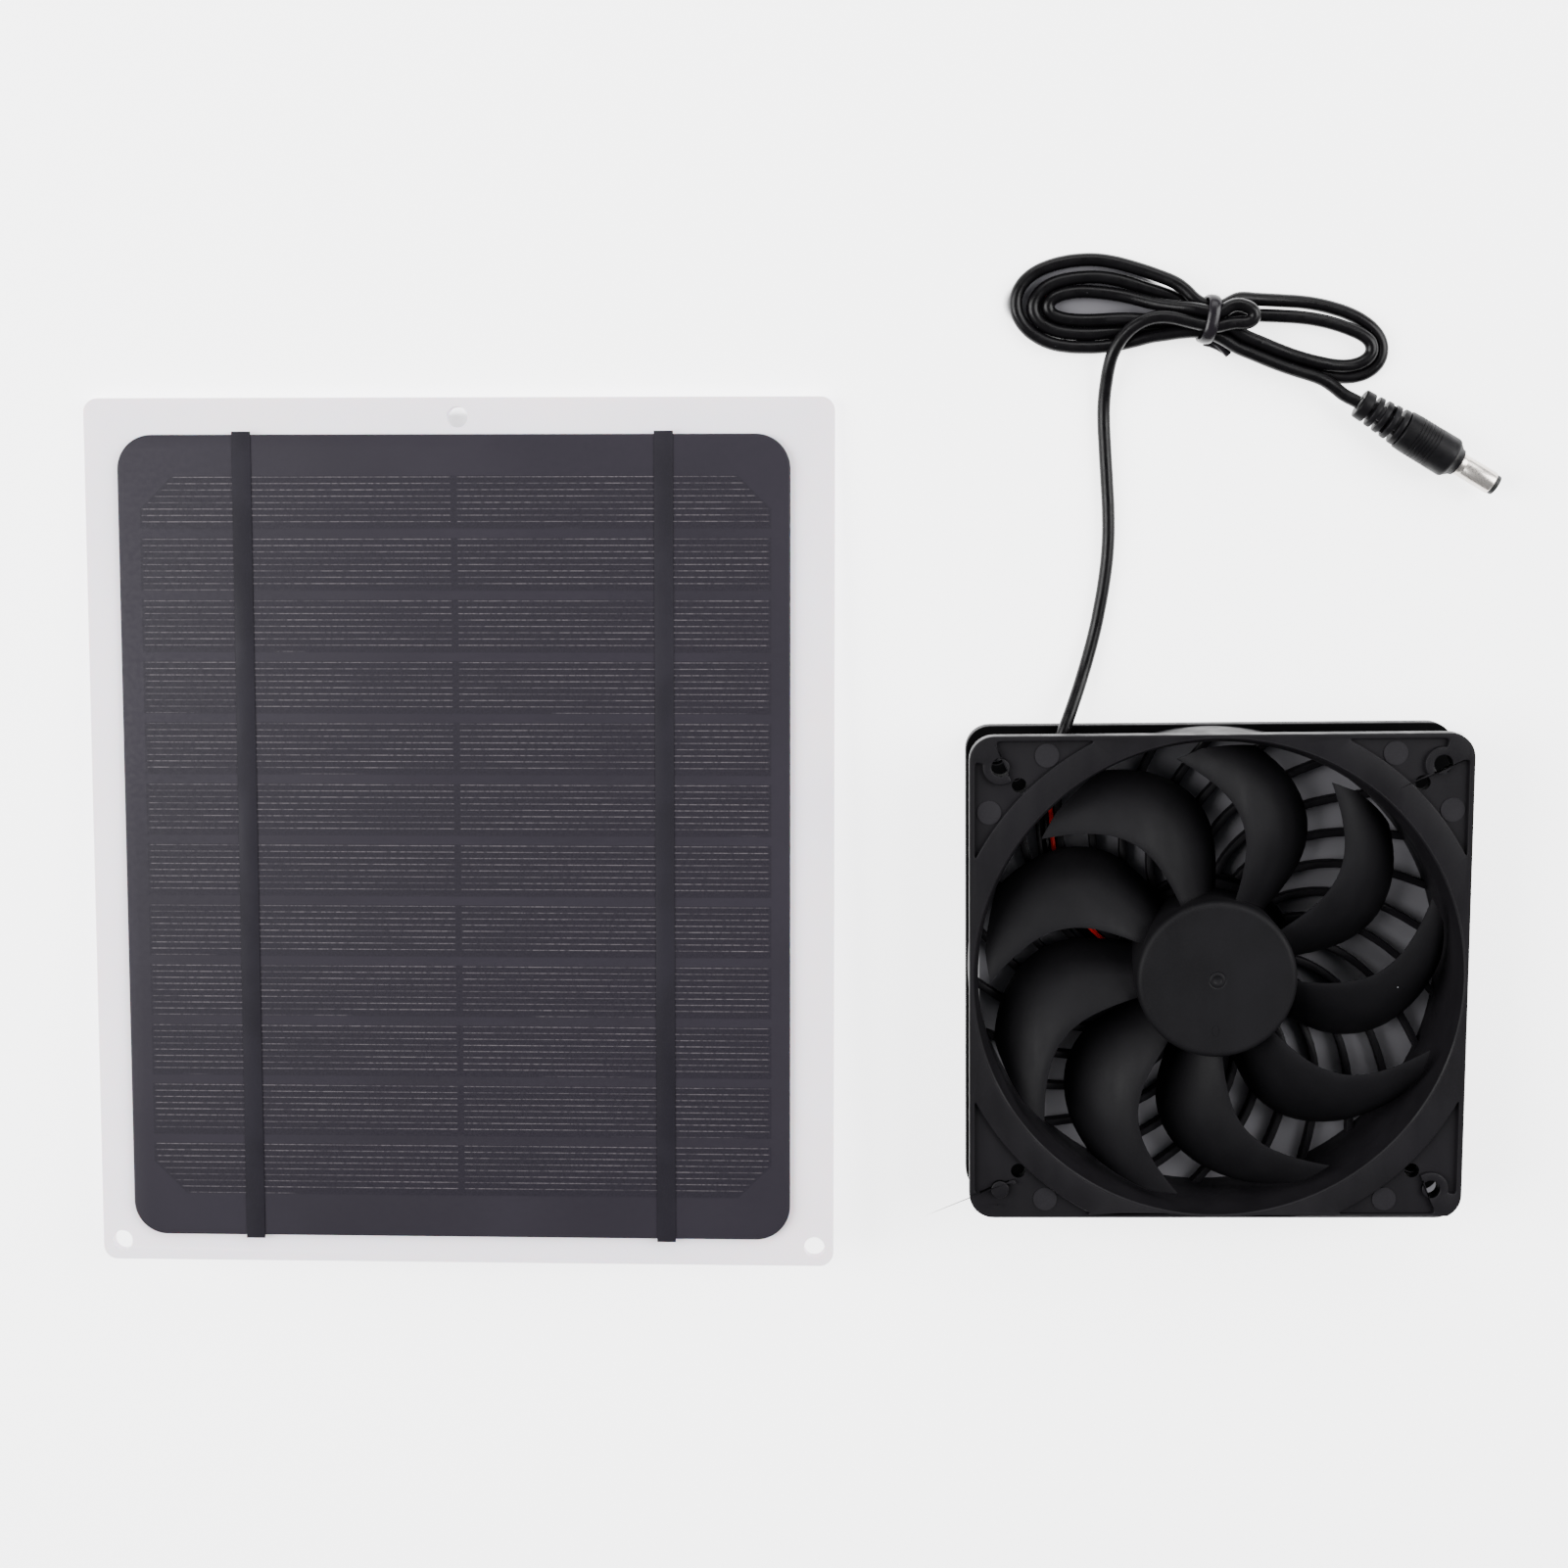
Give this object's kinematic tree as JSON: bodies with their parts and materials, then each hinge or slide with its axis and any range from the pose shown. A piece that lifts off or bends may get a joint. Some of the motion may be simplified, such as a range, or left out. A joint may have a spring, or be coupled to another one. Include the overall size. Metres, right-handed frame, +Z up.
{
  "type": "solar attic fan",
  "caption": "Square axial fan with a coiled plug lead and the small flat solar panel that powers it.",
  "frame": {"origin": "on the ground, under the middle of the box round the panel and the fan, the lead and plug left out", "axes": "+X from the panel towards the fan, +Y towards the wound lead, +Z up out of the fan's intake face"},
  "size_m": [0.3481, 0.25, 0.025],
  "materials": {
    "frame_plastic": "fine moulded texture, satin on the flange faces",
    "rotor_plastic": "smooth matte moulding",
    "steel": "ground",
    "lamination_steel": "stacked sheet edges",
    "brass": "turned",
    "copper": "enamelled copper wire",
    "ferrite": "rubber-bonded ferrite, matte",
    "nylon": "natural nylon",
    "circuit_board": "green solder mask",
    "chip_resin": "moulded epoxy",
    "aluminium_can": "drawn can",
    "label_foil": "plain silver film label",
    "red_insulation": "extruded PVC",
    "cord_jacket": "extruded soft PVC, satin sheen",
    "tie_plastic": "plastic-coated wire",
    "plug_moulding": "moulded soft PVC",
    "nickel_plate": "nickel plating",
    "frosted_plate": "frosted translucent acrylic",
    "laminate": "black laminate under a frosted clear film",
    "cell_silicon": "monocrystalline silicon with fine silver lines under a frosted film",
    "tape": "thin black tape",
    "box_plastic": "moulded ABS"
  },
  "bodies": {
    "fan_unit": {"fan_frame": "frame_plastic", "bearing_tube": "brass", "rear_bearing": "steel", "front_bearing": "steel", "stator_core": "lamination_steel", "lower_insulator": "nylon", "upper_insulator": "nylon", "coil_1": "copper", "coil_2": "copper", "coil_3": "copper", "coil_4": "copper", "motor_board": "circuit_board", "hall_sensor": "chip_resin", "driver_chip": "chip_resin", "board_capacitor": "aluminium_can", "rear_label": "label_foil", "red_wire": "red_insulation", "black_wire": "cord_jacket", "cord_lead": "cord_jacket", "cord_hank": "cord_jacket", "wire_tie": "tie_plastic", "cord_tail": "cord_jacket", "plug_grip": "plug_moulding", "plug_barrel": "nickel_plate", "plug_insulator": "chip_resin"},
    "rotor": {"impeller": "rotor_plastic", "rotor_yoke": "steel", "magnet_ring": "ferrite", "rotor_shaft": "steel", "retaining_clip": "steel", "preload_spring": "steel"},
    "panel": {"backing_plate": "frosted_plate", "laminate_sheet": "laminate", "cell_strip_01": "cell_silicon", "cell_strip_02": "cell_silicon", "cell_strip_03": "cell_silicon", "cell_strip_04": "cell_silicon", "cell_strip_05": "cell_silicon", "cell_strip_06": "cell_silicon", "cell_strip_07": "cell_silicon", "cell_strip_08": "cell_silicon", "cell_strip_09": "cell_silicon", "cell_strip_10": "cell_silicon", "cell_strip_11": "cell_silicon", "cell_strip_12": "cell_silicon", "left_ribbon": "nickel_plate", "right_ribbon": "nickel_plate", "left_tape": "tape", "right_tape": "tape", "box_tray": "box_plastic", "box_lid": "box_plastic", "socket_body": "box_plastic", "socket_pin": "nickel_plate", "terminal_board": "circuit_board", "blocking_diode": "chip_resin", "plus_terminal": "brass", "minus_terminal": "brass"}
  },
  "joints": [
    {"name": "rotor_spin", "type": "hinge", "parent": "fan_unit", "child": "rotor", "pos_m": [0.1097, -0.0339, 0.0125], "axis": [0, 0, 1], "continuous": true},
    {"name": "panel_lift", "type": "slide", "parent": "fan_unit", "child": "panel", "axis": [0, 0, 1], "range_m": [0, 0.15]}
  ]
}
